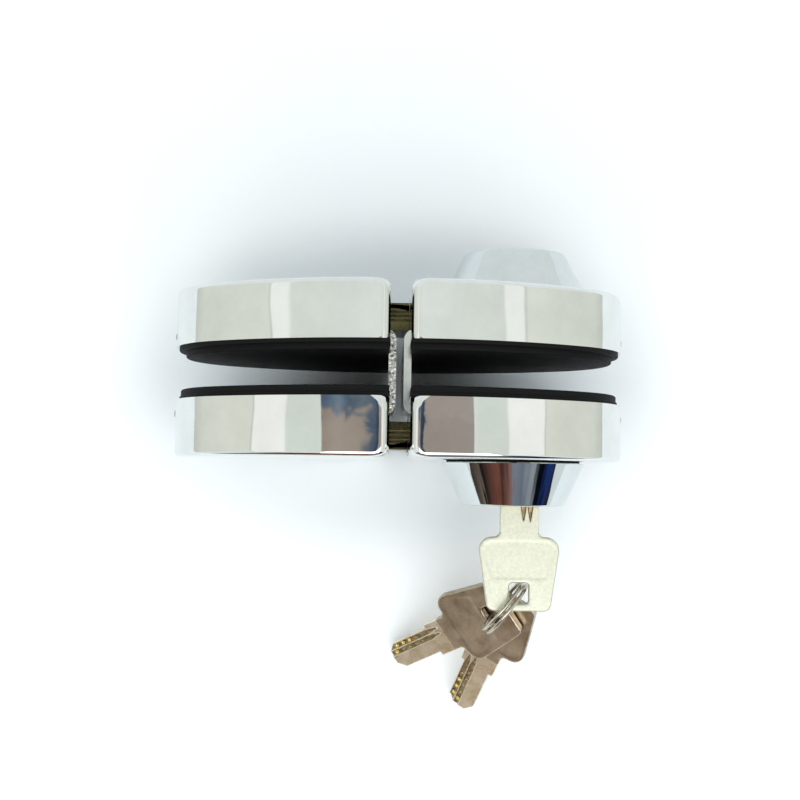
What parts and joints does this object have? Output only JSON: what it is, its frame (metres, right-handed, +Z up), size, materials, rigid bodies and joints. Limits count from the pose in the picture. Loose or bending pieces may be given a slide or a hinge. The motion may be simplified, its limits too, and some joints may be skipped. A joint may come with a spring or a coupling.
{
  "type": "glass door centre lock",
  "caption": "Clamp-on centre lock for a pair of frameless glass doors: half-oval polished covers on rubber pads, a keyed cylinder on each face, sliding bolts, keys on a split ring.",
  "frame": {"origin": "midway between the two leaves, in the middle of the glass thickness, at half height", "axes": "+X across the doors from the keeper to the lock, +Y through the glass from the key side to the back, +Z up the door"},
  "size_m": [0.1378, 0.1467, 0.084],
  "materials": {
    "polished_steel": "mirror polished stainless steel",
    "satin_steel": "satin",
    "black_rubber": "matt moulded rubber",
    "plated_steel": "zinc plated",
    "brass": "machined",
    "nickel_plate": "nickel plated brass",
    "ring_steel": "bright wire"
  },
  "bodies": {
    "lock_half": {"lock_spine": "satin_steel", "lock_front_cover": "polished_steel", "lock_back_cover": "polished_steel", "lock_front_gasket": "black_rubber", "lock_back_gasket": "black_rubber", "lock_front_plate": "plated_steel", "lock_back_plate": "plated_steel", "lock_clamp_screws": "plated_steel", "lock_cover_screws": "plated_steel", "front_bolt_case": "satin_steel", "back_bolt_case": "satin_steel", "bolt_case_screws": "plated_steel", "front_rosette": "polished_steel", "back_rosette": "polished_steel", "front_cylinder": "satin_steel", "back_cylinder": "satin_steel", "front_cylinder_nut": "satin_steel", "back_cylinder_nut": "satin_steel", "front_driver_pins": "satin_steel", "back_driver_pins": "satin_steel", "front_pin_springs": "satin_steel", "back_pin_springs": "satin_steel", "front_pin_stops": "brass", "back_pin_stops": "brass"},
    "keeper_half": {"keeper_spine": "satin_steel", "keeper_front_cover": "polished_steel", "keeper_back_cover": "polished_steel", "keeper_front_gasket": "black_rubber", "keeper_back_gasket": "black_rubber", "keeper_front_plate": "plated_steel", "keeper_back_plate": "plated_steel", "keeper_clamp_screws": "plated_steel", "keeper_cover_screws": "plated_steel", "front_strike_box": "satin_steel", "back_strike_box": "satin_steel", "strike_screws": "plated_steel"},
    "front_plug": {"front_plug": "brass", "front_key_pins": "brass", "front_cam": "satin_steel", "front_drive_pin": "plated_steel", "front_cam_screws": "plated_steel"},
    "back_plug": {"back_plug": "brass", "back_key_pins": "brass", "back_cam": "satin_steel", "back_drive_pin": "plated_steel", "back_cam_screws": "plated_steel"},
    "front_bolt": {"front_bolt": "brass"},
    "back_bolt": {"back_bolt": "brass"},
    "key_in_lock": {"key_in_lock": "nickel_plate"},
    "key_ring": {"key_ring": "ring_steel"},
    "spare_key_left": {"spare_key_left": "nickel_plate"},
    "spare_key_right": {"spare_key_right": "nickel_plate"}
  },
  "joints": [
    {"name": "leaves_part", "type": "slide", "parent": "lock_half", "child": "keeper_half", "axis": [-1, 0, 0], "range_m": [0, 0.02]},
    {"name": "front_plug_turn", "type": "hinge", "parent": "lock_half", "child": "front_plug", "pos_m": [0.0378, -0.03, 0], "axis": [0, 1, 0], "range_deg": [0, 93]},
    {"name": "back_plug_turn", "type": "hinge", "parent": "lock_half", "child": "back_plug", "pos_m": [0.0378, 0.03, 0], "axis": [0, -1, 0], "range_deg": [0, 93]},
    {"name": "front_bolt_slide", "type": "slide", "parent": "lock_half", "child": "front_bolt", "axis": [1, 0, 0], "range_m": [0, 0.01385]},
    {"name": "back_bolt_slide", "type": "slide", "parent": "lock_half", "child": "back_bolt", "axis": [1, 0, 0], "range_m": [0, 0.01385]},
    {"name": "key_withdraw", "type": "slide", "parent": "front_plug", "child": "key_in_lock", "axis": [0, -1, 0], "range_m": [0, 0.028]},
    {"name": "ring_turn", "type": "hinge", "parent": "key_in_lock", "child": "key_ring", "pos_m": [0.0341, -0.07051, -0.00547], "axis": [0.7745, -0.6316, 0.0349], "range_deg": [-15, 15]},
    {"name": "spare_key_left_swing", "type": "hinge", "parent": "key_ring", "child": "spare_key_left", "pos_m": [0.03183, -0.07375, -0.014], "axis": [-0.4631, -0.4085, 0.7866], "range_deg": [-8, 8]},
    {"name": "spare_key_right_swing", "type": "hinge", "parent": "key_ring", "child": "spare_key_right", "pos_m": [0.03428, -0.0708, -0.01486], "axis": [-0.465, -0.4093, 0.785], "range_deg": [-8, 8]}
  ],
  "couplings": [
    {"joint": "front_plug_turn", "follows": "front_bolt_slide", "rad_per_m": 113.34},
    {"joint": "back_plug_turn", "follows": "back_bolt_slide", "rad_per_m": 113.34}
  ]
}
